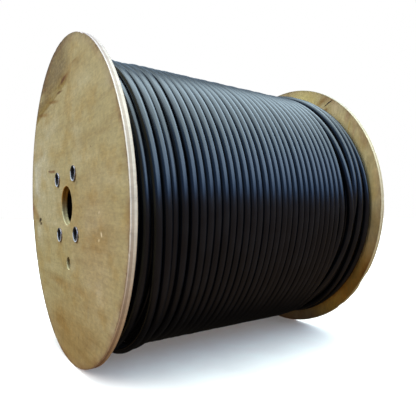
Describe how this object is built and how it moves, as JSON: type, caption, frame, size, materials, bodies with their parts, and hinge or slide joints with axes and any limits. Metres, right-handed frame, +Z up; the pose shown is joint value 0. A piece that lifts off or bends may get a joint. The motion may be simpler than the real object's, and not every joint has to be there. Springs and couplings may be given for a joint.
{
  "type": "wooden cable drum",
  "caption": "Plywood cable drum lying on its rims, filled edge to edge with smooth black cable between round flanges that steel tubes clamp to a hidden barrel.",
  "frame": {"origin": "on the floor, under the middle of the drum's axis", "axes": "+X along the drum's axis towards the flange that the raised bundle of turns lies against, +Z up"},
  "size_m": [0.4754, 0.4996, 0.4995],
  "materials": {
    "plywood": "raw light plywood, sanded, unpainted",
    "fibreboard": "raw brown fibreboard",
    "zinc_steel": "bright zinc plating",
    "black_jacket": "smooth black extruded cable jacket, satin"
  },
  "bodies": {
    "root": {"flange_left": "plywood", "flange_right": "plywood", "barrel": "fibreboard", "tie_tube_1": "zinc_steel", "tie_tube_2": "zinc_steel", "tie_tube_3": "zinc_steel", "tie_tube_4": "zinc_steel", "cable_winding": "black_jacket"}
  },
  "joints": []
}
